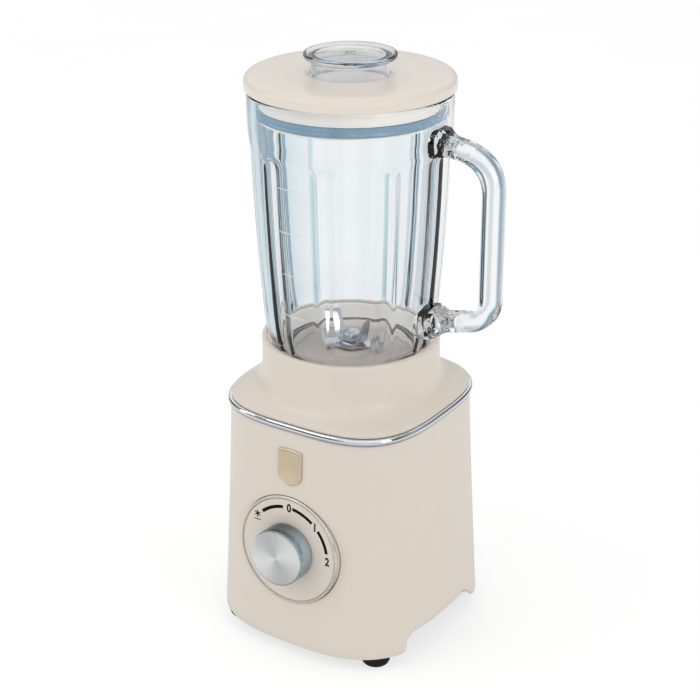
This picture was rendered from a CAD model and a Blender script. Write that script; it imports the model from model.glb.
"""Countertop blender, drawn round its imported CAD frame: motor base, glass jug, lid and cap."""

import math

import bmesh
import bpy
from mathutils import Euler, Matrix, Vector


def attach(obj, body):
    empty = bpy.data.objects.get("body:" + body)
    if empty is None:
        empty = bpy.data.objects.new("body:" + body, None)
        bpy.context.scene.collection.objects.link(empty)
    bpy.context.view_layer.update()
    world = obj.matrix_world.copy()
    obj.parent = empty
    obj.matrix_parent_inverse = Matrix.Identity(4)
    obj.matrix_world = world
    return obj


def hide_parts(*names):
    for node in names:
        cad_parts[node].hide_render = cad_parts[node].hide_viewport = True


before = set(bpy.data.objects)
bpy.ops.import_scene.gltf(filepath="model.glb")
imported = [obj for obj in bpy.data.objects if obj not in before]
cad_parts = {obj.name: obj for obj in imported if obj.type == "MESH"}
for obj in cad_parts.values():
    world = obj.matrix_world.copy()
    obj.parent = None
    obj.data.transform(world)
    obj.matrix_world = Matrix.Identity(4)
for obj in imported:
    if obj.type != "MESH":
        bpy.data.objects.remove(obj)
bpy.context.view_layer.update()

MM = 0.001
JUG_AXIS = Vector((-15.5, 5.3, 3.3))  # from the origin, in mm like every size below

# ---- Camera ----
CAMERA_AZIMUTH = math.radians(33.155)  # from straight in front, towards the handle
CAMERA_DISTANCE = 1018.0  # from the jug's axis, along the worktop
CAMERA_HEIGHT = 650.2
CAMERA_PITCH = math.radians(24.042)
CAMERA_YAW = math.radians(0.046)
CAMERA_ROLL = math.radians(-0.173)
CAMERA_LENS = 84.307  # on a 36 mm sensor


def make_camera():
    turn = CAMERA_AZIMUTH + CAMERA_YAW
    level = math.cos(CAMERA_PITCH)
    ahead = Vector((-math.sin(turn) * level, math.cos(turn) * level, -math.sin(CAMERA_PITCH)))
    right = Vector((math.cos(turn), math.sin(turn), 0))
    above = right.cross(ahead)
    side = right * math.cos(CAMERA_ROLL) + above * math.sin(CAMERA_ROLL)
    up = above * math.cos(CAMERA_ROLL) - right * math.sin(CAMERA_ROLL)
    data = bpy.data.cameras.new("camera")
    data.lens = CAMERA_LENS
    data.sensor_width = 36
    data.clip_end = 100
    camera = bpy.data.objects.new("camera", data)
    place = Matrix((side, up, -ahead)).transposed().to_4x4()
    out = Vector((math.sin(CAMERA_AZIMUTH), -math.cos(CAMERA_AZIMUTH), 0))
    place.translation = MM * (JUG_AXIS + CAMERA_DISTANCE * out + Vector((0, 0, CAMERA_HEIGHT)))
    camera.matrix_world = place
    bpy.context.scene.collection.objects.link(camera)
    bpy.context.scene.camera = camera


make_camera()

# ---- Materials ----


class Nodes:
    """A material's node tree, with short ways to add and link nodes."""

    def __init__(self, name):
        self.material = bpy.data.materials.new(name)
        self.material.use_nodes = True
        self.tree = self.material.node_tree
        self.shader = self.tree.nodes["Principled BSDF"]
        self.place = self.add("ShaderNodeTexCoord").outputs["Object"]

    def add(self, kind, **settings):
        node = self.tree.nodes.new(kind)
        for key, value in settings.items():
            if key in node.inputs:
                node.inputs[key].default_value = value
            else:
                setattr(node, key, value)
        return node

    def link(self, start, end):
        self.tree.links.new(start, end)

    def noise(self, size, detail=3.0, stretch=(1, 1, 1)):
        """Noise whose features are about this many mm across."""
        mapping = self.add("ShaderNodeMapping")
        mapping.inputs["Scale"].default_value = [1 / (size * MM * s) for s in stretch]
        self.link(self.place, mapping.inputs["Vector"])
        noise = self.add("ShaderNodeTexNoise", Scale=1.0, Detail=detail)
        self.link(mapping.outputs["Vector"], noise.inputs["Vector"])
        return noise.outputs["Fac"]

    def span(self, value, low, high, start=0.3, end=0.7):
        node = self.add("ShaderNodeMapRange")
        for key, number in (("From Min", start), ("From Max", end), ("To Min", low), ("To Max", high)):
            node.inputs[key].default_value = number
        self.link(value, node.inputs["Value"])
        return node.outputs["Result"]

    def blend(self, value, first, second):
        node = self.add("ShaderNodeMix", data_type="RGBA")
        node.inputs["A"].default_value = (*first, 1)
        node.inputs["B"].default_value = (*second, 1)
        self.link(value, node.inputs["Factor"])
        return node.outputs["Result"]

    def bump(self, height, depth, strength=1.0):
        """Bump with this many mm between its low and high points."""
        node = self.add("ShaderNodeBump", Strength=strength, Distance=depth * MM)
        self.link(height, node.inputs["Height"])
        if self.shader.inputs["Normal"].is_linked:
            self.link(self.shader.inputs["Normal"].links[0].from_socket, node.inputs["Normal"])
        self.link(node.outputs["Normal"], self.shader.inputs["Normal"])

    def set(self, **sockets):
        for key, value in sockets.items():
            self.shader.inputs[key.replace("_", " ")].default_value = value


def math_node(tree, operation, *values):
    node = tree.nodes.new("ShaderNodeMath")
    node.operation = operation
    for index, value in enumerate(values):
        if isinstance(value, bpy.types.NodeSocket):
            tree.links.new(value, node.inputs[index])
        else:
            node.inputs[index].default_value = value
    return node.outputs["Value"]


def mixed(colour, amount):
    return tuple(min(1.0, c * amount) for c in colour)


def finish(name, colour, rough, *, patch=20, vary=0.03, grain=0.5, depth=0.004, spread=0.05, **sockets):
    """A surface with slow patches of tone, a fine grain and uneven gloss."""
    made = Nodes(name)
    slow = made.noise(patch, 2)
    made.link(
        made.blend(made.span(slow, 0, 1), mixed(colour, 1 - vary), mixed(colour, 1 + vary)),
        made.shader.inputs["Base Color"],
    )
    fine = made.noise(grain)
    uneven = made.noise(patch / 5, 4)
    made.link(made.span(uneven, rough - spread, rough + spread), made.shader.inputs["Roughness"])
    made.bump(fine, depth)
    made.set(**sockets)
    return made


def moulded(name, colour, rough, depth, grain=0.5, **sockets):
    """Even, fine-grained plastic."""
    return finish(
        name, colour, rough, vary=0.006, grain=grain, depth=depth, spread=0.02, **sockets
    ).material


def plain_metal(name, colour, rough, **more):
    return finish(name, colour, rough, Metallic=1.0, **more).material


def layered_metal(name, colour, rough, pitch, depth):
    """Metal in thin layers up Z, such as laminations or the turns of a winding."""
    made = finish(name, colour, rough, Metallic=1.0, vary=0.08, patch=6)
    bands = made.add("ShaderNodeTexWave", wave_type="BANDS", bands_direction="Z", wave_profile="SIN")
    bands.inputs["Scale"].default_value = math.pi / (10 * pitch * MM)
    bands.inputs["Distortion"].default_value = 0.3
    made.link(made.place, bands.inputs["Vector"])
    made.bump(bands.outputs["Fac"], depth)
    return made.material


BRIGHT_WEDGE = math.radians(20)


def spun_metal(name, colour, rough, depth, stretch, dim):
    """Metal turned on a lathe about the piece's own Z: rings round it, and opposite bright wedges.

    dim is the share of the tone that is left midway between the wedges.
    """
    made = Nodes(name)
    parts = made.add("ShaderNodeSeparateXYZ")
    made.link(made.place, parts.inputs["Vector"])
    flat = made.add("ShaderNodeCombineXYZ")
    made.link(parts.outputs["X"], flat.inputs["X"])
    made.link(parts.outputs["Y"], flat.inputs["Y"])
    radius = made.add("ShaderNodeVectorMath", operation="LENGTH")
    made.link(flat.outputs["Vector"], radius.inputs[0])
    line = made.add("ShaderNodeCombineXYZ")
    made.link(radius.outputs["Value"], line.inputs["X"])
    made.link(parts.outputs["Z"], line.inputs["Y"])
    rings = made.add("ShaderNodeTexNoise", Scale=3200.0, Detail=4.0)
    made.link(line.outputs["Vector"], rings.inputs["Vector"])
    turn = math_node(made.tree, "ARCTAN2", parts.outputs["Y"], parts.outputs["X"])
    twice = math_node(made.tree, "MULTIPLY_ADD", turn, 2.0, -2 * BRIGHT_WEDGE)
    wave = math_node(made.tree, "COSINE", twice)
    wedges = made.add("ShaderNodeMix", data_type="RGBA", blend_type="MULTIPLY", Factor=1.0)
    made.link(
        made.blend(made.span(rings.outputs["Fac"], 0, 1), mixed(colour, 0.93), mixed(colour, 1.05)),
        wedges.inputs["A"],
    )
    made.link(made.span(wave, dim, 1.0, -1.0, 1.0), wedges.inputs["B"])
    made.link(wedges.outputs["Result"], made.shader.inputs["Base Color"])
    made.link(made.span(rings.outputs["Fac"], rough - 0.05, rough + 0.06), made.shader.inputs["Roughness"])
    made.bump(rings.outputs["Fac"], depth)
    made.set(Metallic=1.0, Anisotropic=stretch)
    tangent = made.add("ShaderNodeTangent", direction_type="RADIAL", axis="Z")
    made.link(tangent.outputs["Tangent"], made.shader.inputs["Tangent"])
    return made.material


ROOTS = (0.065, 0.069, 0.078, 0.086)  # metres along X: where the handle's roots fade in and out


def clear(name, colour, rough, ior, *, ripple, depth, pressed=0.0):
    """Glass or clear plastic with a slow ripple.

    pressed is the depth in mm of a coarse texture at the handle's roots.
    """
    made = Nodes(name)
    made.link(
        made.blend(made.span(made.noise(30, 2), 0, 1), mixed(colour, 0.985), colour),
        made.shader.inputs["Base Color"],
    )
    made.link(made.span(made.noise(8, 3), rough, rough + 0.02), made.shader.inputs["Roughness"])
    made.bump(made.noise(ripple, 1), depth)
    if pressed:
        parts = made.add("ShaderNodeSeparateXYZ")
        made.link(made.place, parts.inputs["Vector"])
        start = made.span(parts.outputs["X"], 0, 1, *ROOTS[:2])
        end = made.span(parts.outputs["X"], 1, 0, *ROOTS[2:])
        gate = math_node(made.tree, "MULTIPLY", start, end)
        made.bump(math_node(made.tree, "MULTIPLY", gate, made.noise(7, 1)), pressed)
    made.set(Transmission_Weight=1.0, IOR=ior)
    return made.material


CREAM_TONE = (0.62, 0.567, 0.498)
LID_TONE = (0.67, 0.617, 0.548)
INNER_TONE = (0.96, 0.91, 0.84)

CREAM = moulded("cream_plastic", CREAM_TONE, 0.34, 0.0015)
LID_CREAM = moulded("lid_plastic", LID_TONE, 0.3, 0.0012)
INNER_CREAM = moulded(
    "inner_plastic", INNER_TONE, 0.35, 0.0012,
    Emission_Color=(1.0, 0.93, 0.85, 1), Emission_Strength=0.11,
)
DIAL_CREAM = moulded("dial_plastic", CREAM_TONE, 0.42, 0.002, 0.3)
CHROME = plain_metal("chrome", (0.78, 0.79, 0.81), 0.08, spread=0.02, vary=0.02, grain=6, depth=0.0002)
GOLD = plain_metal("champagne_gold", (0.80, 0.73, 0.64), 0.3, vary=0.04, grain=0.25, depth=0.003)
FOIL = plain_metal("gold_foil", (0.80, 0.66, 0.48), 0.42, vary=0.06, grain=0.8, depth=0.01)
ALUMINIUM = spun_metal("spun_aluminium", (0.97, 1.0, 1.0), 0.27, 0.004, 0.92, 0.6)
DARK_ALUMINIUM = spun_metal("turned_aluminium", (0.53, 0.66, 0.76), 0.24, 0.004, 0.6, 0.22)
STEEL = plain_metal("ground_steel", (0.6, 0.62, 0.65), 0.2, vary=0.05, grain=0.3, depth=0.004)
RUBBER = finish(
    "black_rubber", (0.006, 0.006, 0.007), 0.7, vary=0.2, grain=0.4, depth=0.02, Specular_IOR_Level=0.25
).material
GLASS = clear("jug_glass", (0.945, 0.964, 0.975), 0.0, 1.5, ripple=14, depth=0.03, pressed=2.0)
CLEAR = clear("clear_plastic", (0.95, 0.97, 1.0), 0.01, 1.46, ripple=20, depth=0.01)
SEAL = finish(
    "silicone", (0.24, 0.42, 0.58), 0.25, vary=0.03, patch=40, grain=0.6, depth=0.001,
    Transmission_Weight=0.15,
).material
GREY = finish("grey_plastic", (0.86, 0.81, 0.755), 0.42, vary=0.03, grain=0.4, depth=0.004).material
FLOOR_GREY = finish("floor_plastic", (0.53, 0.475, 0.44), 0.42, vary=0.03, grain=0.4, depth=0.004).material
BLACK = finish("black_plastic", (0.03, 0.03, 0.033), 0.5, vary=0.15, grain=0.4, depth=0.012).material
INK = finish(
    "print", (0.002, 0.002, 0.002), 0.6, vary=0.1, grain=0.2, depth=0.001, Specular_IOR_Level=0.1
).material
PALE_INK = finish("pale_print", (0.6, 0.62, 0.64), 0.5, vary=0.05, grain=0.2, depth=0.001).material
LAMINATION = layered_metal("laminations", (0.3, 0.31, 0.33), 0.4, 0.6, 0.05)
COPPER = layered_metal("copper_wire", (0.62, 0.3, 0.14), 0.32, 0.8, 0.12)
BRONZE = plain_metal("sintered_bronze", (0.52, 0.38, 0.18), 0.42, vary=0.08, grain=0.2, depth=0.01)
CARBON = finish("carbon", (0.03, 0.03, 0.032), 0.55, vary=0.2, grain=0.2, depth=0.01).material

CAD_FINISHES = {
    BLACK: ("base_plate", "switch_body", "lower_bridge", "cooling_fan", "driven_coupling"),
    RUBBER: ("well_seal", "drive_coupling"),
    GREY: ("jug_gasket",),
    LAMINATION: ("motor_plate", "stator", "armature"),
    COPPER: ("field_coil_front", "field_coil_rear", "armature_winding_upper",
             "armature_winding_lower", "commutator"),
    CARBON: ("carbon_brush_left", "carbon_brush_right"),
    BRONZE: ("blade_bush",),
}

# ---- Outlines: lists of (radius, height) ----


def softened(corners, steps=4):
    """A closed outline with each corner given as (radius, height, rounding)."""
    outline = []
    for i, (r, z, rounding) in enumerate(corners):
        here = Vector((r, z))
        if not rounding:
            outline.append((r, z))
            continue
        before = Vector(corners[i - 1][:2])
        after = Vector(corners[(i + 1) % len(corners)][:2])
        start = here + (before - here).normalized() * rounding
        end = here + (after - here).normalized() * rounding
        for k in range(steps + 1):
            t = k / steps
            point = start * (1 - t) ** 2 + here * 2 * t * (1 - t) + end * t**2
            outline.append((point.x, point.y))
    return outline


def flowing(points, steps=6):
    """A smooth open line through points."""
    line = []
    ends = [points[0], *points, points[-1]]
    for i in range(1, len(ends) - 2):
        a, b, c, d = (Vector(ends[i + k]) for k in (-1, 0, 1, 2))
        for k in range(steps):
            t = k / steps
            point = 0.5 * (
                2 * b + (c - a) * t + (2 * a - 5 * b + 4 * c - d) * t**2 + (3 * b - a - 3 * c + d) * t**3
            )
            line.append((point.x, point.y))
    return [*line, tuple(points[-1])]


def circle_angles(segments):
    return [2 * math.pi * i / segments for i in range(segments)]


def round_plan(angle, r, z):
    return r * math.cos(angle), r * math.sin(angle), z


def turned(outline, plan, angles):
    """Vertices and faces of a closed outline taken round the Z axis, in mm.

    plan(angle, r, z) gives a point.
    """
    verts, faces, columns = [], [], []
    on_axis = {}
    for k, (r, z) in enumerate(outline):
        if r < 1e-6:
            on_axis[k] = len(verts)
            verts.append((0, 0, z))
    for angle in angles:
        column = []
        for k, (r, z) in enumerate(outline):
            if k in on_axis:
                column.append(on_axis[k])
                continue
            column.append(len(verts))
            verts.append(plan(angle, r, z))
        columns.append(column)
    for i, column in enumerate(columns):
        following = columns[(i + 1) % len(columns)]
        for k in range(len(outline)):
            n = (k + 1) % len(outline)
            corners = []
            for v in (column[k], following[k], following[n], column[n]):
                if v not in corners:
                    corners.append(v)
            if len(corners) > 2:
                faces.append(corners)
    return verts, faces


# ---- Pieces ----

ON_JUG_AXIS = Matrix.Translation(JUG_AXIS * MM)


def bare_object(name, verts, faces):
    """An object from vertices in mm, with its faces turned outward."""
    mesh = bpy.data.meshes.new(name)
    mesh.from_pydata([Vector(v) * MM for v in verts], [], faces)
    work = bmesh.new()
    work.from_mesh(mesh)
    bmesh.ops.remove_doubles(work, verts=work.verts, dist=1e-7)
    bmesh.ops.recalc_face_normals(work, faces=work.faces)
    work.to_mesh(mesh)
    work.free()
    made = bpy.data.objects.new(name, mesh)
    bpy.context.scene.collection.objects.link(made)
    return made


def lathe(name, outline, segments, plan=round_plan):
    """A piece made by taking a closed outline round the Z axis."""
    return bare_object(name, *turned(outline, plan, circle_angles(segments)))


def bridged(rings, count):
    """Quads between each ring of this many vertices and the next."""
    faces = []
    for start in range(0, (rings - 1) * count, count):
        for k in range(count):
            n = (k + 1) % count
            faces.append((start + k, start + n, start + count + n, start + count + k))
    return faces


def combine(target, tool, operation):
    """Adds, cuts or keeps the common part of two closed objects, and removes the tool."""
    step = target.modifiers.new("shape", "BOOLEAN")
    step.operation = operation
    step.solver = "EXACT"
    step.object = tool
    apply_modifiers(target)
    bpy.data.objects.remove(tool)


def apply_modifiers(target):
    bpy.context.view_layer.update()
    final = target.evaluated_get(bpy.context.evaluated_depsgraph_get())
    mesh = bpy.data.meshes.new_from_object(final)
    old = target.data
    target.modifiers.clear()
    target.data = mesh
    bpy.data.meshes.remove(old)


def settle(made, body, material, nodes=(), place=ON_JUG_AXIS, crease=32):
    """Puts a piece in place with its finish, on its body, for the CAD nodes it stands for."""
    made.data.materials.clear()
    made.data.materials.append(material)
    made.data.shade_smooth()
    made.data.set_sharp_from_angle(angle=math.radians(crease))
    made.matrix_world = place
    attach(made, body)
    if nodes:
        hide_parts(*nodes)
    return made


# ---- Motor base ----

HOUSING_BOTTOM = 6
HOUSING_TOP = 164.3
HALF_WIDTH_BOTTOM = 82
HALF_WIDTH_TOP = 72.6
ARCH_TOP = 20
ARCH_FRONT = 47  # from the middle to the arch's front end
ARCH_CORNER = 9
ARCH_FOOT = 4
ARCH_FOOT_RISE = 5
ARCH_REAR = (21, 44)  # where the arch's rear end starts and stops coming down
WALL = 2.6
FOOT_SPACING = 56
FOOT_RADIUS = 10
FOOT_BOTTOM = -3.3
GLAND_HEIGHT = 34
GLAND_RADIUS = 6
DIAL_HEIGHT = 78
DIAL_TILT = math.radians(3.4)
DIAL_PROUD = 0.9
DIAL_RADIUS = 39.2
BADGE_HEIGHT = 139


def half_width(z):
    down = (HOUSING_TOP - z) / (HOUSING_TOP - HOUSING_BOTTOM)
    return HALF_WIDTH_TOP + (HALF_WIDTH_BOTTOM - HALF_WIDTH_TOP) * max(0, down) ** 1.15


def squareness(z):
    return 2.85 + 0.4 * z / HOUSING_TOP


def rounded_square(angle, r, n):
    c, s = math.cos(angle), math.sin(angle)
    reach = (abs(c) ** n + abs(s) ** n) ** (-1 / n)
    return r * reach * c, r * reach * s


def lower_edge(y):
    """Height of the housing's lower edge, which arches up under each side wall."""
    if y > 0:
        return ARCH_TOP - (ARCH_TOP - HOUSING_BOTTOM) * smooth(y, *ARCH_REAR)
    y = -y
    if y >= ARCH_FRONT + ARCH_FOOT:
        return HOUSING_BOTTOM
    if y >= ARCH_FRONT:
        return HOUSING_BOTTOM + ARCH_FOOT_RISE * (1 - math.sqrt((y - ARCH_FRONT) / ARCH_FOOT)) ** 2
    inward = y - (ARCH_FRONT - ARCH_CORNER)
    if inward > 0:
        return ARCH_TOP - ARCH_CORNER + math.sqrt(ARCH_CORNER**2 - inward**2)
    return ARCH_TOP


def angle_at(y):
    """The plan angle in the first quarter at which the lower housing reaches a y."""
    low, high = 0.0, math.pi / 4
    for _ in range(40):
        middle = (low + high) / 2
        if rounded_square(middle, half_width(ARCH_TOP), squareness(ARCH_TOP))[1] < y:
            low = middle
        else:
            high = middle
    return low


def housing_angles():
    """Even steps round the plan, with finer ones where the arches turn down."""
    arch = [ARCH_FRONT - ARCH_CORNER * (1 - math.sin(k * math.pi / 24)) for k in range(13)]
    foot = [ARCH_FRONT + ARCH_FOOT * (k / 8) ** 2 for k in range(1, 9)]
    every = set(circle_angles(240))
    for reach in [*arch, *foot]:
        front = angle_at(reach)
        every.update((2 * math.pi - front, math.pi + front))
    kept = []
    for angle in sorted(every):
        if not kept or angle - kept[-1] > 2e-4:
            kept.append(angle)
    return kept


def cylinder_along(radius, length, place):
    half = length / 2
    made = lathe("cutter", [(0, -half), (radius, -half), (radius, half), (0, half)], 128)
    made.matrix_world = place
    return made


def facing_front(z, proud, tilt):
    """A frame on the front wall: its Z points out of the wall and its Y points up."""
    spot = JUG_AXIS + Vector((0, -half_width(z) - proud, z))
    turn = Euler((math.pi / 2 - tilt, 0, 0)).to_matrix().to_4x4()
    return Matrix.Translation(spot * MM) @ turn


DIAL = facing_front(DIAL_HEIGHT, DIAL_PROUD, DIAL_TILT)


def wall_slope(z):
    return math.atan(half_width(z - 1) - half_width(z))


def gland_place():
    spot = JUG_AXIS + Vector((0, half_width(GLAND_HEIGHT), GLAND_HEIGHT))
    turn = Euler((-math.pi / 2 + wall_slope(GLAND_HEIGHT), 0, 0)).to_matrix().to_4x4()
    return Matrix.Translation(spot * MM) @ turn


def housing():
    rows = 30
    outer = [(0.0, 0.8, k / rows) for k in range(rows + 1)]
    top = [(0.5, 0.0, 1.0), (WALL - 0.4, 0.0, 1.0)]
    inner = [(WALL, 0.8, 1 - k / 10) for k in range(11)]
    lip = [(WALL - 0.2, 0.25, 0.0), (WALL - 0.7, 0.0, 0.0), (0.7, 0.0, 0.0), (0.2, 0.25, 0.0)]
    loop = [*outer, *top, *inner, *lip]

    def plan(angle, index, _):
        inset, margin, up = loop[int(index) - 1]
        _, y = rounded_square(angle, half_width(ARCH_TOP), squareness(ARCH_TOP))
        low = lower_edge(y) + margin
        high = HOUSING_TOP - (margin / 2 if inset in (0.0, WALL) else 0)
        z = low + (high - low) * up
        return (*rounded_square(angle, half_width(z) - inset, squareness(z)), z)

    steps = [(i + 1, 0) for i in range(len(loop))]
    made = bare_object("housing_shell", *turned(steps, plan, housing_angles()))
    made.matrix_world = ON_JUG_AXIS
    combine(made, cylinder_along(DIAL_RADIUS + 0.3, 24, DIAL), "DIFFERENCE")
    combine(made, cylinder_along(GLAND_RADIUS + 0.4, 20, gland_place()), "DIFFERENCE")
    settle(made, "base", CREAM, ["housing"])


def trim_plan(angle, r, z):
    return (*rounded_square(angle, r, squareness(z)), z)


def trim_ring():
    low, high = HOUSING_TOP + 0.4, HOUSING_TOP + 5.1
    outline = softened(
        [(70.4, low, 0.3), (73.7, low, 0.6), (74.35, low + 1.2, 1.0), (74.35, high - 1.3, 1.2),
         (73.2, high, 0.9), (70.4, high, 0.3)],
        5,
    )
    made = lathe("chrome_trim", outline, 320, trim_plan)
    settle(made, "base", CHROME, ["trim_ring"], crease=50)


COLLAR_OUTER = 60.2
COLLAR_INNER = 56.5
COLLAR_TOP = 210
WELL_FLOOR = 176
SHAFT_HOLE = 19.8
SHOULDER_BOTTOM = HOUSING_TOP + 5.5


def cover_plan(angle, r, z):
    t = min(1.0, max(0.0, (r - 60.5) / 10.5))
    n = 2 + (squareness(SHOULDER_BOTTOM) - 2) * t * t * (3 - 2 * t)
    return (*rounded_square(angle, r, n), z)


def top_cover():
    shoulder = flowing(
        [(72.2, 171.1), (69.6, 172.7), (66.6, 174.5), (64.0, 177.3), (62.2, 181.2), (61.0, 186.4),
         (60.4, 192), (COLLAR_OUTER, 199), (COLLAR_OUTER, 205)],
        7,
    )
    lip = softened(
        [(COLLAR_OUTER, 206, 0), (COLLAR_OUTER, COLLAR_TOP, 1.7), (COLLAR_INNER, COLLAR_TOP, 1.3),
         (COLLAR_INNER, 206, 0)],
        6,
    )
    inside = softened(
        [(COLLAR_INNER, WELL_FLOOR, 2.5), (SHAFT_HOLE + WALL, WELL_FLOOR, 0.6),
         (SHAFT_HOLE + WALL, WELL_FLOOR + 3.5, 0.8), (SHAFT_HOLE, WELL_FLOOR + 3.5, 0.8),
         (SHAFT_HOLE, WELL_FLOOR - WALL, 0.4), (59, WELL_FLOOR - WALL, 1.5), (67.4, 169.6, 1.0),
         (67.4, 157, 0.5), (69.6, 157, 0.5), (69.6, SHOULDER_BOTTOM, 0.3),
         (72.2, SHOULDER_BOTTOM, 0.4)],
        4,
    )
    made = lathe("shoulder_and_collar", [*shoulder, *lip, *inside], 320, cover_plan)
    settle(made, "base", CREAM, ["top_cover"], crease=40)
    behind = COLLAR_INNER - 0.05
    front = COLLAR_INNER - 0.6
    lining = softened(
        [(front, WELL_FLOOR + 3, 0.2), (behind, WELL_FLOOR + 3, 0), (behind, COLLAR_TOP - 2, 0),
         (front, COLLAR_TOP - 2.8, 0.3)]
    )
    made = lathe("collar_lining", lining, 200)
    settle(made, "base", INNER_CREAM, ["top_cover"], crease=40)


QUARTERS = (("front_left", -1, -1), ("front_right", 1, -1), ("rear_left", -1, 1), ("rear_right", 1, 1))


def feet():
    outline = softened(
        [(0, FOOT_BOTTOM, 0), (7, FOOT_BOTTOM, 0.8), (9.3, FOOT_BOTTOM + 1.4, 1.5),
         (FOOT_RADIUS, FOOT_BOTTOM + 4.2, 1.2), (FOOT_RADIUS, 5.6, 0.5), (4, 5.6, 0.4),
         (4, 14, 0.6), (0, 14, 0)]
    )
    for quarter, x, y in QUARTERS:
        made = lathe("rubber_foot_" + quarter, outline, 64)
        spot = Matrix.Translation(Vector((x * FOOT_SPACING, y * FOOT_SPACING, 0)) * MM)
        settle(made, "base", RUBBER, ["foot_" + quarter], ON_JUG_AXIS @ spot)


def gland():
    outline = softened(
        [(4.2, -14, 0.3), (GLAND_RADIUS, -14, 0.5), (GLAND_RADIUS, 0.6, 0.2), (9, 0.6, 0.3),
         (9, 2, 0.5), (7.6, 3.1, 0.6), (4.2, 3.1, 0.9)]
    )
    made = lathe("cord_bush", outline, 64)
    settle(made, "base", BLACK, ["cord_gland"], gland_place())


def badge():
    """A plain plate with a pointed foot and a raised rim."""
    outline = flowing([(9.4, -5), (8.9, -7.4), (6.4, -10.2), (0, -13.4)], 6)
    outline += [(-x, y) for x, y in reversed(outline[:-1])]
    outline += [(9.4 * k / 6, 12.2 + 0.9 * (1 - (k / 6) ** 2)) for k in range(-6, 7)]
    rings = ((1.0, 0.0), (1.0, 0.6), (0.97, 0.88), (0.9, 0.88), (0.87, 0.62))
    count = len(outline)
    verts = [(x * scale, y * scale, z) for scale, z in rings for x, y in outline]
    ends = [tuple(range(count)), tuple(range(len(verts) - count, len(verts)))]
    made = bare_object("plain_badge", verts, [*ends, *bridged(len(rings), count)])
    spot = facing_front(BADGE_HEIGHT, 0.4, wall_slope(BADGE_HEIGHT))
    settle(made, "base", FOIL, ["badge"], spot)


# ---- Dial and knob, in the dial's own frame ----

KNOB_RADIUS = 19.8
KNOB_BACK = 1.0
KNOB_FRONT = 15.2
MARK_RADIUS = 31.4
MARK_WIDTH = 2.3
MARK_HEIGHT = 0.08
DIGIT_HEIGHT = 6.2
DIGIT_WEIGHT = 0.26
PULSE_ANGLE = -53


def dial():
    plate = softened([(5.4, -3, 0), (37, -3, 0), (37, 0, 0.35), (5.4, 0, 0.3)])
    settle(lathe("dial_face", plate, 200), "base", DIAL_CREAM, ["dial_plate"], DIAL)
    rim = softened(
        [(34, -9.6, 0), (DIAL_RADIUS - 0.5, -9.6, 0.2), (DIAL_RADIUS - 0.5, -0.1, 0.2),
         (37.3, -0.1, 0.2), (37.3, -3.4, 0), (34, -3.4, 0)]
    )
    settle(lathe("dial_rim", rim, 200), "base", DIAL_CREAM, ["dial_ring"], DIAL)
    line = softened(
        [(DIAL_RADIUS - 1.5, -0.02, 0), (DIAL_RADIUS - 0.42, -0.02, 0), (DIAL_RADIUS - 0.42, -1.4, 0),
         (DIAL_RADIUS, -1.4, 0.1), (DIAL_RADIUS, 0.1, 0.3), (DIAL_RADIUS - 0.6, 0.6, 0.3),
         (DIAL_RADIUS - 1.5, 0.6, 0.2)]
    )
    settle(lathe("dial_line", line, 200), "base", GOLD, ["dial_ring"], DIAL)


def slab(name, outline):
    """A thin raised print from a flat outline in mm."""
    low = [(x, y, 0.02) for x, y in outline]
    high = [(x, y, MARK_HEIGHT) for x, y in outline]
    count = len(outline)
    sides = [(i, (i + 1) % count, count + (i + 1) % count, count + i) for i in range(count)]
    faces = [tuple(range(count)), tuple(range(2 * count - 1, count - 1, -1)), *sides]
    return bare_object(name, [*low, *high], faces)


def clock(angle, radius):
    """The point at this many degrees clockwise from the top."""
    return radius * math.sin(math.radians(angle)), radius * math.cos(math.radians(angle))


def arc_outline(start, end, width):
    steps = 24
    there = [start + (end - start) * k / steps for k in range(steps + 1)]
    outer = [clock(angle, MARK_RADIUS + width / 2) for angle in there]
    inner = [clock(angle, MARK_RADIUS - width / 2) for angle in reversed(there)]
    return [*outer, *inner]


def bar_outline(x, y, length, width, angle):
    c, s = math.cos(angle), math.sin(angle)
    corners = ((-1, -1), (1, -1), (1, 1), (-1, 1))
    return [
        (x + a * length / 2 * c - b * width / 2 * s, y + a * length / 2 * s + b * width / 2 * c)
        for a, b in corners
    ]


def join(name, parts):
    with bpy.context.temp_override(
        active_object=parts[0], selected_editable_objects=parts, selected_objects=parts
    ):
        bpy.ops.object.join()
    parts[0].name = name
    return parts[0]


def digit(text, height):
    """A numeral as a thin solid, centred on its own origin."""
    curve = bpy.data.curves.new("digit", "FONT")
    curve.body = text
    curve.size = height * 1.38 * MM
    curve.align_x, curve.align_y = "CENTER", "CENTER"
    curve.extrude = (MARK_HEIGHT - 0.02) / 2 * MM
    curve.offset = DIGIT_WEIGHT * MM
    curve.resolution_u = 6
    source = bpy.data.objects.new("digit", curve)
    bpy.context.scene.collection.objects.link(source)
    bpy.context.view_layer.update()
    mesh = bpy.data.meshes.new_from_object(source.evaluated_get(bpy.context.evaluated_depsgraph_get()))
    bpy.data.objects.remove(source)
    middle = sum((Vector(v.co) for v in mesh.vertices), Vector()) / len(mesh.vertices)
    tall = max(v.co.y for v in mesh.vertices) - min(v.co.y for v in mesh.vertices)
    for v in mesh.vertices:
        v.co = (v.co - middle) * (height * MM / tall)
        v.co.x *= 0.85
    made = bpy.data.objects.new("digit", mesh)
    bpy.context.scene.collection.objects.link(made)
    return made


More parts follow.
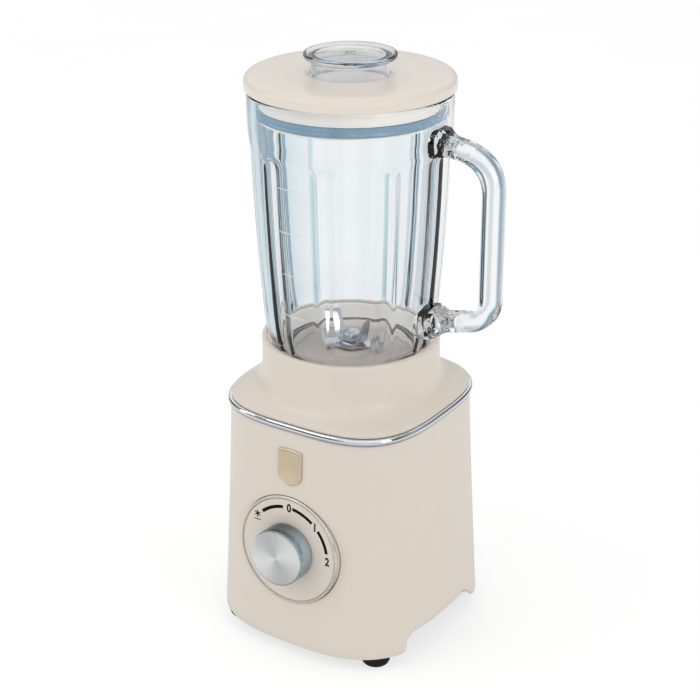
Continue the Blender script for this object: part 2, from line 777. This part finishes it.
def dial_marks():
    parts = [slab("mark", arc_outline(a, b, MARK_WIDTH)) for a, b in ((-43, -9), (5, 36), (48, 78))]
    for text, angle in (("0", 0), ("1", 42), ("2", 87)):
        made = digit(text, DIGIT_HEIGHT)
        x, y = clock(angle, MARK_RADIUS)
        for v in made.data.vertices:
            v.co += Vector((x, y, (MARK_HEIGHT + 0.02) / 2)) * MM
        parts.append(made)
    x, y = clock(PULSE_ANGLE, MARK_RADIUS + 0.6)
    for k in range(3):
        parts.append(slab("ray", bar_outline(x, y + 0.8, 5.2, 0.75, math.pi / 2 + k * math.pi / 3)))
    parts.append(slab("bar", bar_outline(x, y - 3.4, 5.6, 0.6, 0)))
    made = join("dial_marks", parts)
    settle(made, "base", INK, (), DIAL)


def knob():
    skirt = softened(
        [(KNOB_RADIUS - 2.2, KNOB_BACK, 0.3), (KNOB_RADIUS, KNOB_BACK, 0.5),
         (KNOB_RADIUS, KNOB_FRONT - 0.9, 0.4), (KNOB_RADIUS - 1, KNOB_FRONT - 0.9, 0.1),
         (KNOB_RADIUS - 1, KNOB_FRONT - 2.2, 0.1), (KNOB_RADIUS - 2.2, KNOB_FRONT - 2.2, 0.1)]
    )
    made = lathe("knob_skirt", skirt, 192)
    settle(made, "control_knob", DARK_ALUMINIUM, ["knob"], DIAL)
    top = KNOB_FRONT - 0.05
    face = softened(
        [(3.4, 4.4, 0.2), (5.6, 4.4, 0.3), (5.6, KNOB_FRONT - 2.2, 0.6),
         (KNOB_RADIUS - 1.1, KNOB_FRONT - 2.2, 0.2), (KNOB_RADIUS - 1.1, KNOB_FRONT - 0.85, 0.1),
         (KNOB_RADIUS - 0.2, KNOB_FRONT - 0.85, 0.1), (KNOB_RADIUS - 0.2, KNOB_FRONT - 0.35, 0.2),
         (KNOB_RADIUS - 0.9, top, 0.2), (KNOB_RADIUS - 3, top, 0), (8, top, 0), (0, top, 0),
         (0, KNOB_FRONT - 2.4, 0), (3.4, KNOB_FRONT - 2.4, 0)]
    )
    made = lathe("knob_face", face, 192)
    notch = bare_object("cutter", *box_mesh((0, KNOB_RADIUS - 2.0, KNOB_FRONT), (1.0, 3.2, 0.7)))
    combine(made, notch, "DIFFERENCE")
    settle(made, "control_knob", ALUMINIUM, ["knob"], DIAL)


def box_mesh(middle, size):
    x, y, z = middle
    a, b, c = (s / 2 for s in size)
    verts = [(x + i * a, y + j * b, z + k * c) for k in (-1, 1) for j in (-1, 1) for i in (-1, 1)]
    faces = [(0, 2, 3, 1), (4, 5, 7, 6), (0, 1, 5, 4), (2, 6, 7, 3), (0, 4, 6, 2), (1, 3, 7, 5)]
    return verts, faces


# ---- Jug ----

RIM_TOP = 379.4
NECK_RADIUS = 48
NECK_BORE = 43.6
NECK_BOTTOM = 187
FLUTES = 10
FLUTE_HALF_ANGLE = math.radians(8)
FLUTE_DEPTH = 2.0
FLUTE_TOP = 346
FLUTE_BOTTOM = 204
SPOUT_REACH = 7
SPOUT_HALF_ANGLE = math.radians(14)
SPOUT_BOTTOM = 352
SCALE_ANGLE = math.radians(-96)  # the middle of the printed measuring lines


def smooth(value, low, high):
    t = min(1.0, max(0.0, (value - low) / (high - low)))
    return t * t * (3 - 2 * t)


def wall_shift(angle, z):
    """How far the jug's wall stands out from round: in at each flute, out at the spout."""
    turn = (angle + math.pi) % (2 * math.pi) - math.pi
    along = smooth(z, FLUTE_BOTTOM, FLUTE_BOTTOM + 16) * (1 - smooth(z, FLUTE_TOP - 9, FLUTE_TOP))
    pitch = 2 * math.pi / FLUTES
    off = abs(turn - pitch * round(turn / pitch)) / FLUTE_HALF_ANGLE
    shift = -FLUTE_DEPTH * along * math.cos(off * math.pi / 2) ** 2 if off < 1 else 0
    aside = (math.pi - abs(turn)) / SPOUT_HALF_ANGLE
    up = max(0, (z - SPOUT_BOTTOM) / (RIM_TOP - SPOUT_BOTTOM))
    return shift + SPOUT_REACH * math.exp(-aside * aside) * up * up


def jug_plan(angle, r, z):
    r += wall_shift(angle, z)
    return r * math.cos(angle), r * math.sin(angle), z


OUTER_WALL = [
    (52.2, 200.4), (54.4, 208), (56.2, 215), (57.6, 222), (58.7, 230), (60, 248), (61.6, 270),
    (63, 295), (64, 318), (64.5, 334), (64.9, 343), (65.7, 349), (66.2, 355), (66.4, 366),
    (66.4, 376.4),
]
INNER_WALL = [
    (61.7, 376.8), (61.6, 366), (61.4, 355), (60.9, 349), (60.2, 343), (59.8, 334), (59.3, 318),
    (58.3, 295), (56.9, 270), (55.2, 248), (53.6, 230), (52.2, 220), (50.2, 212), (47.4, 205.6),
]


def outer_radius(z):
    for (r0, z0), (r1, z1) in zip(OUTER_WALL, OUTER_WALL[1:]):
        if z0 <= z <= z1:
            return r0 + (r1 - r0) * (z - z0) / (z1 - z0)
    return OUTER_WALL[0][0] if z < OUTER_WALL[0][1] else OUTER_WALL[-1][0]


def jug_wall():
    rim = softened([(66.4, 377, 0), (66.4, RIM_TOP, 2.2), (61.7, RIM_TOP, 2.2), (61.7, 377, 0)], 7)
    neck = softened(
        [(NECK_BORE, 199.4, 2.5), (NECK_BORE, NECK_BOTTOM, 0.8), (NECK_RADIUS, NECK_BOTTOM, 0.8),
         (NECK_RADIUS, 198.6, 1.2), (51.2, 199.2, 0.9)],
        5,
    )
    outline = [*flowing(OUTER_WALL, 5), *rim, *flowing(INNER_WALL, 5), *neck]
    return lathe("glass_jug", outline, 360, jug_plan)


GRIP_X = 105.6
GRIP_HALF_THICKNESS = 6.4
GRIP_HALF_WIDTH = 8.2
SECTION_SHARPNESS = 3.0


def curved(a, b, c, steps):
    return [a * (1 - t) ** 2 + b * 2 * t * (1 - t) + c * t**2 for t in (k / steps for k in range(steps))]


def handle_line():
    """The handle's middle line in X and Z, from the upper wall round to the lower one."""
    line = [Vector((66.5, 353.3)).lerp(Vector((82, 351)), k / 10) for k in range(10)]
    line += curved(Vector((82, 351)), Vector((GRIP_X, 347.5)), Vector((GRIP_X, 325)), 20)
    line += [Vector((GRIP_X, 325)).lerp(Vector((GRIP_X, 256)), k / 16) for k in range(16)]
    line += curved(Vector((GRIP_X, 256)), Vector((GRIP_X, 241.5)), Vector((92, 238.4)), 14)
    line += [Vector((92, 238.4)).lerp(Vector((60.4, 231.2)), k / 16) for k in range(17)]
    return line


def handle_section(count=48):
    """The grip's section: a rounded rectangle with a shallow groove down its outer face."""
    points = []
    for k in range(count):
        angle = 2 * math.pi * k / count
        c, s = math.cos(angle), math.sin(angle)
        power = 2 / SECTION_SHARPNESS
        across = math.copysign(abs(s) ** power, s)
        out = math.copysign(abs(c) ** power, c)
        groove = 0.07 * math.exp(-((across / 0.3) ** 2)) if out > 0 else 0
        points.append((out - groove, across))
    return points


def handle():
    line = handle_line()
    section = handle_section()
    verts = []
    for i, middle in enumerate(line):
        ahead = (line[min(i + 1, len(line) - 1)] - line[max(i - 1, 0)]).normalized()
        out = Vector((-ahead.y, ahead.x))
        near = 1 - smooth(middle.x, 64, 80)
        for a, b in section:
            flat = middle + out * a * GRIP_HALF_THICKNESS * (1 + 0.7 * near * near)
            y = b * GRIP_HALF_WIDTH * (1 + 0.75 * near * near)
            x = flat.x
            if i in (0, len(line) - 1):
                x = math.sqrt((outer_radius(flat.y) - 3.9) ** 2 - y**2)
            verts.append((x, y, flat.y))
    count = len(section)
    faces = bridged(len(line), count)
    for ring in (0, len(line) - 1):
        corners = range(ring * count, (ring + 1) * count)
        middle = sum((Vector(verts[c]) for c in corners), Vector()) / count
        middle.x = outer_radius(middle.z) - 3.9
        verts.append(tuple(middle))
        for k in range(count):
            faces.append((ring * count + k, ring * count + (k + 1) % count, len(verts) - 1))
    return bare_object("handle", verts, faces)


def jug():
    made = jug_wall()
    combine(made, handle(), "UNION")
    settle(made, "jug_unit", GLASS, ["jug"], crease=60)
    made.visible_shadow = False


def scale_marks():
    """Faint printed lines up the jug's front, which follow its wall."""
    parts = []
    for index, z in enumerate((240, 269, 298, 327)):
        reach = math.radians(10 if index % 2 == 0 else 6)
        steps = 20
        verts = []
        for k in range(steps + 1):
            angle = SCALE_ANGLE - reach + 2 * reach * k / steps
            for lift, dz in ((0.03, -0.3), (0.03, 0.3), (0.09, 0.3), (0.09, -0.3)):
                r = outer_radius(z + dz) + wall_shift(angle, z + dz) + lift
                verts.append((r * math.cos(angle), r * math.sin(angle), z + dz))
        faces = [(0, 1, 2, 3), tuple(4 * steps + k for k in (3, 2, 1, 0))]
        for k in range(steps):
            for side in range(4):
                n = (side + 1) % 4
                faces.append((4 * k + side, 4 * (k + 1) + side, 4 * (k + 1) + n, 4 * k + n))
        parts.append(bare_object("line", verts, faces))
    settle(join("measuring_lines", parts), "jug_unit", PALE_INK)


def jug_fittings():
    bottom = WELL_FLOOR + 0.4
    bore = NECK_RADIUS + 0.8
    ring = softened(
        [(36, bottom, 0.5), (54.6, bottom, 1.2), (54.6, 196.6, 0.9), (bore, 197.4, 0.6),
         (bore, 182.6, 0.3), (36, 182.6, 0.5)]
    )
    made = lathe("screw_ring", ring, 200)
    settle(made, "jug_unit", FLOOR_GREY, ["jug_base_ring"])
    lining = softened(
        [(bore - 0.3, 184, 0.1), (bore + 0.2, 184, 0), (bore + 0.2, 196.4, 0), (bore - 0.3, 196.4, 0.1)]
    )
    made = lathe("ring_lining", lining, 200)
    settle(made, "jug_unit", INNER_CREAM, ["jug_base_ring"])

    floor = [(40.6, 195.6)]
    for k in range(6):
        r = 38 - 4.2 * k
        floor += [(r + 0.6, 195.9 + 0.2 * k), (r, 196.2 + 0.2 * k), (r - 0.6, 195.9 + 0.2 * k)]
    holder = [
        *floor,
        *softened(
            [(12.6, 197, 1.0), (12, 199.4, 0.7), (7.9, 199.4, 0.4), (7.9, 194.2, 0), (5, 194.2, 0),
             (5, 192.8, 0), (18, 192.8, 0.5), (18, 181, 0.4), (20.6, 181, 0.4), (20.6, 191.4, 0.5),
             (40.4, 191.4, 0.5), (40.4, 183, 0), (47.6, 183, 0.3), (47.6, 185.4, 0.3),
             (43.4, 185.4, 0.3), (43.4, 194.4, 0.8)]
        ),
    ]
    made = lathe("jug_floor", holder, 200)
    settle(made, "jug_unit", FLOOR_GREY, ["blade_holder"], crease=40)


# ---- Blades ----

BLADE_THICKNESS = 1.4


def blade_arm(bend, rise, length, root_width, tip_width):
    """One arm along +X: flat to the bend, then rising to a blunt tip, with a ground leading edge."""
    verts = []
    tip = Vector((bend + length * math.cos(rise), length * math.sin(rise)))
    line = [Vector((4.5, 0)), Vector((bend - 3, 0))]
    line += curved(line[-1], Vector((bend, 0)), Vector((bend, 0)).lerp(tip, 3 / length), 6)[1:]
    line += [Vector((bend, 0)).lerp(tip, 3 / length + (1 - 3 / length) * k / 12) for k in range(13)]
    total = sum((b - a).length for a, b in zip(line, line[1:]))
    done = 0.0
    for i, point in enumerate(line):
        done += (point - line[i - 1]).length if i else 0
        ahead = (line[min(i + 1, len(line) - 1)] - line[max(i - 1, 0)]).normalized()
        out = Vector((-ahead.y, ahead.x))
        share = done / total
        half = (root_width + (tip_width - root_width) * share) / 2
        ground = min(2.6, 0.7 * half) * smooth(share, 0.15, 0.4)
        blunt = 0.45 if i == len(line) - 1 else 1.0
        section = (
            (-half * blunt, 0.25),
            (half * blunt - ground, 0.0),
            (half * blunt, 0.02),
            (half * blunt, 0.2 + (BLADE_THICKNESS - 0.3) * (ground < 0.1)),
            (half * blunt - ground, BLADE_THICKNESS),
            (-half * blunt, BLADE_THICKNESS - 0.25),
        )
        for y, up in section:
            spot = point + out * up
            verts.append((spot.x, y, spot.y))
    count = len(section)
    ends = [tuple(range(count)), tuple(range(len(verts) - count, len(verts)))]
    return verts, [*bridged(len(line), count), *ends]


def blade(name, node, bottom, direction, arms):
    """A blade with two opposite arms, each given as (bend, rise in degrees, length)."""
    hub = softened(
        [(3.4, 0, 0.15), (8, 0, 0.2), (8, BLADE_THICKNESS, 0.2), (3.4, BLADE_THICKNESS, 0.15)], 2
    )
    made = lathe(name, hub, 64)
    for index, (bend, rise, length) in enumerate(arms):
        arm = bare_object("arm", *blade_arm(bend, math.radians(rise), length, 12, 6))
        arm.data.transform(Matrix.Rotation(index * math.pi, 4, "Z"))
        combine(made, arm, "UNION")
    bore = lathe("bore", [(0, -2), (3.4, -2), (3.4, 4), (0, 4)], 48)
    combine(made, bore, "DIFFERENCE")
    spot = Matrix.Translation((0, 0, bottom * MM)) @ Matrix.Rotation(math.radians(direction), 4, "Z")
    settle(made, "blade_unit", STEEL, [node], ON_JUG_AXIS @ spot, crease=20)


def blade_unit():
    blade("lower_blade", "blade_lower", 201.6, 25, ((16.5, 66, 19), (15, 38, 12.5)))
    blade("upper_blade", "blade_upper", 203.4, 168, ((9.2, 70, 20.5), (9.2, 70, 20.5)))
    spindle = softened(
        [(0, 191, 0), (4, 191, 0.4), (4, 201.2, 0.2), (3, 201.2, 0.1), (3, 207.6, 0.3), (0, 207.6, 0)]
    )
    made = lathe("blade_spindle", spindle, 48)
    settle(made, "blade_unit", STEEL, ["blade_shaft"])
    dome = flowing([(6.5, 208.2), (5.6, 209.8), (3.4, 211.4), (0, 212)], 5)
    nut = lathe("dome_nut", [(0, 205.2), (6.5, 205.2), *dome], 64)
    hexagon = lathe("hexagon", [(0, 204), (6.5, 204), (6.5, 213), (0, 213)], 6)
    combine(nut, hexagon, "INTERSECT")
    bore = lathe("bore", [(0, 204), (3.4, 204), (3.4, 208), (0, 208)], 32)
    combine(nut, bore, "DIFFERENCE")
    settle(nut, "blade_unit", STEEL, ["blade_nut"], crease=25)


# ---- Lid and cap ----

LID_RADIUS = 68
LID_BOTTOM = RIM_TOP + 0.4
LID_TOP = 389.2
CAP_BORE = 25.9
CAP_RADIUS = 30
CAP_TOP = 401.8


def lid():
    cover = softened(
        [(60.2, LID_BOTTOM, 0.3), (LID_RADIUS, LID_BOTTOM, 0.7), (LID_RADIUS, LID_TOP - 3.2, 1.8),
         (LID_RADIUS - 3.2, LID_TOP - 0.35, 2.2), (48, LID_TOP, 4), (CAP_BORE + 3.4, LID_TOP, 0.8),
         (CAP_BORE + 0.3, LID_TOP - 1.2, 0.8), (CAP_BORE, LID_TOP - 3.4, 0.6),
         (CAP_BORE + WALL, LID_TOP - 3.4, 0.3), (60.2, LID_TOP - 3.4, 0.3)],
        6,
    )
    made = lathe("lid_cover", cover, 320)
    settle(made, "lid_unit", LID_CREAM, ["lid"], crease=38)
    lining = softened(
        [(55, 361.4, 0.5), (58.8, 361.4, 0.3), (58.8, 362.6, 0.2), (56.6, 362.6, 0.2),
         (56.6, 369.4, 0.2), (58.8, 369.4, 0.3), (59.4, 377, 0.5), (60.1, LID_BOTTOM, 0.3),
         (60.1, LID_TOP - 3.5, 0), (CAP_BORE, LID_TOP - 3.5, 0), (CAP_BORE, 371, 0.4),
         (CAP_BORE + WALL, 371, 0.4), (CAP_BORE + WALL, LID_TOP - 5.2, 1.2),
         (55, LID_TOP - 5.2, 1.2)],
        6,
    )
    made = lathe("lid_lining", lining, 240)
    settle(made, "lid_unit", INNER_CREAM, ["lid"], crease=38)

    seal = softened(
        [(57, 363, 0.3), (59.4, 363, 0.5), (60.9, 364.4, 0.6), (60.1, 366, 0.4), (60.9, 367.6, 0.6),
         (59.4, 369, 0.5), (57, 369, 0.3)]
    )
    made = lathe("seal_ring", seal, 240)
    settle(made, "lid_unit", SEAL, ["lid_seal"], crease=60)


def cap():
    wall = CAP_BORE - 1
    outline = softened(
        [(wall - 2, 358, 0.6), (wall, 358, 0.6), (wall, 397, 1.6), (CAP_RADIUS - 1.2, 397.9, 0.8),
         (CAP_RADIUS, 399.2, 0.8), (CAP_RADIUS, 400.8, 0.5), (CAP_RADIUS - 1.2, CAP_TOP, 0.5),
         (CAP_RADIUS - 3, CAP_TOP - 0.5, 1.2), (3, CAP_TOP - 1.1, 1.0), (1.8, CAP_TOP - 1.7, 0.5),
         (0, CAP_TOP - 1.7, 0), (0, 397.4, 0), (wall - 2, 397.4, 1.2)],
        5,
    )
    made = lathe("clear_cap", outline, 240)
    settle(made, "cap", CLEAR, ["measuring_cap"], crease=45)
    made.visible_shadow = False


# ---- CAD nodes that stay ----


def dress_cad_nodes():
    dressed = {node: material for material, nodes in CAD_FINISHES.items() for node in nodes}
    for node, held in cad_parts.items():
        for material_slot in held.material_slots:
            material_slot.material = dressed.get(node, STEEL)
        if node == "base_plate" or "screw" in node:
            edge = held.modifiers.new("edge", "BEVEL")
            edge.width = 0.3 * MM
            edge.segments = 2
            edge.limit_method = "ANGLE"


# ---- Surroundings ----

FLOOR_REACH = 9.0  # metres
SKY_LIGHT = 0.98
# Shades of the surroundings, as stops from 0 to 1. ACROSS runs out from the middle, UP and STAND
# from straight down to straight up, and LEFT and RIGHT from the far left to the far right. STAND is
# how much of PANELS_ACROSS shows, and RIGHT how far the backdrop is washed out to white.
BLUE_SHADE = (0.36, 0.47, 0.56)
DEEP_SHADE = (0.20, 0.27, 0.33)
HORIZON_SHADE = (0.36, 0.43, 0.48)
BACKDROP_ACROSS = ((0.0, 1.0), (0.12, 1.0), (0.20, BLUE_SHADE), (0.34, (0.42, 0.50, 0.56)), (0.45, 0.95),
                   (0.62, 0.97), (0.72, (0.36, 0.44, 0.50)), (0.86, DEEP_SHADE), (0.97, 0.8))
BACKDROP_UP = ((0.0, 0.8), (0.22, 0.95), (0.26, 1.0), (0.36, 1.0), (0.43, 0.75), (0.55, 0.55),
               (0.66, 0.95), (1.0, 1.0))
BACKDROP_LEFT = ((0.0, (0.66, 0.80, 0.84)), (0.44, (0.66, 0.80, 0.84)), (0.475, 1.0), (1.0, 1.0))
BACKDROP_RIGHT = ((0.0, 0.0), (0.52, 0.0), (0.56, 0.55), (1.0, 0.55))
PANELS_ACROSS = ((0.0, 1.0), (0.5, 1.0), (0.66, 0.3), (0.85, 0.14), (1.0, 0.8))
PANELS_STAND = ((0.0, 0.0), (0.40, 0.0), (0.50, 1.0), (1.0, 1.0))
PANELS_UP = ((0.0, 0.35), (0.2, 0.5), (0.3, 0.95), (0.44, 0.95), (0.49, HORIZON_SHADE),
             (0.58, HORIZON_SHADE), (0.64, 1.0), (1.0, 1.0))


def floor():
    made = Nodes("pale_floor")
    made.link(
        made.blend(made.span(made.noise(400, 2), 0, 1), (0.29, 0.29, 0.29), (0.31, 0.31, 0.31)),
        made.shader.inputs["Base Color"],
    )
    made.set(Roughness=0.75, Specular_IOR_Level=0.0, Emission_Color=(1, 1, 1, 1), Emission_Strength=0.69)
    mesh = bpy.data.meshes.new("floor")
    corners = ((-1, -1), (1, -1), (1, 1), (-1, 1))
    mesh.from_pydata([(x * FLOOR_REACH, y * FLOOR_REACH, 0) for x, y in corners], [], [(0, 1, 2, 3)])
    plane = bpy.data.objects.new("floor", mesh)
    plane.data.materials.append(made.material)
    plane.visible_glossy = False
    plane.visible_transmission = False
    bpy.context.scene.collection.objects.link(plane)


def ramp(tree, value, stops):
    """A node that turns 0 to 1 into colours, from (position, shade or colour) stops."""
    node = tree.nodes.new("ShaderNodeValToRGB")
    tree.links.new(value, node.inputs["Fac"])
    held = node.color_ramp.elements
    for index, (position, shade) in enumerate(stops):
        stop = held[index] if index < 2 else held.new(position)
        stop.position = position
        stop.color = (*shade, 1) if isinstance(shade, tuple) else (shade, shade, shade, 1)
    return node.outputs["Color"]


def world_mix(tree, factor, first, second, blend="MIX"):
    node = tree.nodes.new("ShaderNodeMix")
    node.data_type = "RGBA"
    node.blend_type = blend
    for key, value in (("Factor", factor), ("A", first), ("B", second)):
        if isinstance(value, bpy.types.NodeSocket):
            tree.links.new(value, node.inputs[key])
        else:
            node.inputs[key].default_value = value
    return node.outputs["Result"]


def sky():
    """A white studio. Glass and metal also show its darker panels, beside the backdrop and low down."""
    world = bpy.data.worlds.new("studio")
    world.use_nodes = True
    bpy.context.scene.world = world
    tree = world.node_tree
    back = tree.nodes["Background"]
    direction = tree.nodes.new("ShaderNodeTexCoord").outputs["Generated"]
    across = tree.nodes.new("ShaderNodeVectorMath")
    across.operation = "DOT_PRODUCT"
    across.inputs[1].default_value = (math.cos(CAMERA_AZIMUTH), math.sin(CAMERA_AZIMUTH), 0)
    tree.links.new(direction, across.inputs[0])
    side = math_node(tree, "ABSOLUTE", across.outputs["Value"])
    parts = tree.nodes.new("ShaderNodeSeparateXYZ")
    tree.links.new(direction, parts.inputs["Vector"])
    height = tree.nodes.new("ShaderNodeMapRange")
    height.inputs["From Min"].default_value = -1
    tree.links.new(parts.outputs["Z"], height.inputs["Value"])
    rise = height.outputs["Result"]

    behind = ramp(tree, side, BACKDROP_ACROSS)
    behind = world_mix(tree, 1.0, behind, ramp(tree, rise, BACKDROP_UP), "MULTIPLY")
    signed = math_node(tree, "MULTIPLY_ADD", across.outputs["Value"], 0.5, 0.5)
    behind = world_mix(tree, 1.0, behind, ramp(tree, signed, BACKDROP_LEFT), "MULTIPLY")
    behind = world_mix(tree, ramp(tree, signed, BACKDROP_RIGHT), behind, (1, 1, 1, 1))
    standing = ramp(tree, rise, PANELS_STAND)
    around = world_mix(tree, standing, (1, 1, 1, 1), ramp(tree, side, PANELS_ACROSS))
    around = world_mix(tree, 1.0, around, ramp(tree, rise, PANELS_UP), "MULTIPLY")
    path = tree.nodes.new("ShaderNodeLightPath")
    shiny = math_node(tree, "MAXIMUM", path.outputs["Is Glossy Ray"], path.outputs["Is Transmission Ray"])
    direct = math_node(tree, "LESS_THAN", path.outputs["Diffuse Depth"], 0.5)
    shiny = math_node(tree, "MULTIPLY", shiny, direct)
    shown = world_mix(tree, path.outputs["Is Transmission Ray"], around, behind)
    shown = world_mix(tree, shiny, (1, 1, 1, 1), shown)
    tree.links.new(shown, back.inputs["Color"])
    back.inputs["Strength"].default_value = SKY_LIGHT


def lamp(name, position, size, power):
    data = bpy.data.lights.new(name, "AREA")
    data.shape = "RECTANGLE"
    data.size, data.size_y = size
    data.energy = power
    made = bpy.data.objects.new(name, data)
    made.location = position
    aim = JUG_AXIS * MM + Vector((0, 0, 0.2)) - Vector(position)
    made.rotation_mode = "QUATERNION"
    made.rotation_quaternion = aim.to_track_quat("-Z", "Y")
    bpy.context.scene.collection.objects.link(made)


def studio():
    floor()
    sky()
    lamp("key", (-0.9, -1.3, 1.5), (0.8, 0.8), 4)
    lamp("side_strip", (1.6, -0.5, 0.9), (0.5, 1.2), 5)
    lamp("left_strip", (-1.3, -0.7, 0.8), (0.25, 1.2), 2)
    bpy.context.scene.view_settings.view_transform = "Standard"


housing()
trim_ring()
top_cover()
feet()
gland()
badge()
dial()
dial_marks()
knob()
jug()
scale_marks()
jug_fittings()
blade_unit()
lid()
cap()
dress_cad_nodes()
studio()
